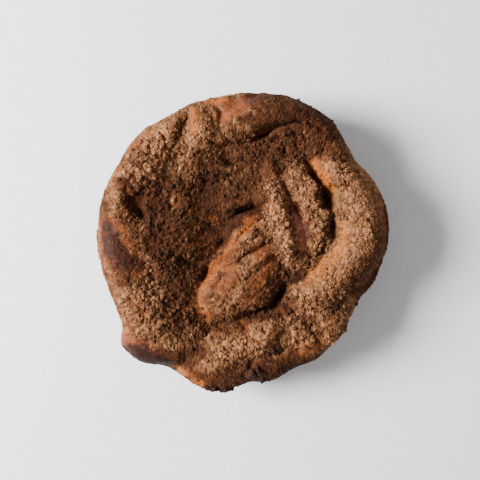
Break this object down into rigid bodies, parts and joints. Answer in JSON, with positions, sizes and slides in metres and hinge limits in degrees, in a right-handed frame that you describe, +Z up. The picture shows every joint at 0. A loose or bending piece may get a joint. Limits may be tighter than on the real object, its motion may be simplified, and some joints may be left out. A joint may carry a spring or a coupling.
{
  "type": "apple babka",
  "caption": "Round apple babka: twisted ropes of filled dough baked together into one loaf, with a streusel crumb top and a flat base.",
  "frame": {"origin": "middle of the flat base that the loaf rests on", "axes": "+Z up out of the crumb-covered top; +Y towards the back of the loaf, which is the top edge of the picture; +X to its right"},
  "size_m": [0.2058, 0.213, 0.0634],
  "materials": {
    "baked_dough": "brown baked crust, satin where bare, dull and rough under streusel crumbs"
  },
  "bodies": {
    "root": {"babka": "baked_dough"}
  },
  "joints": []
}
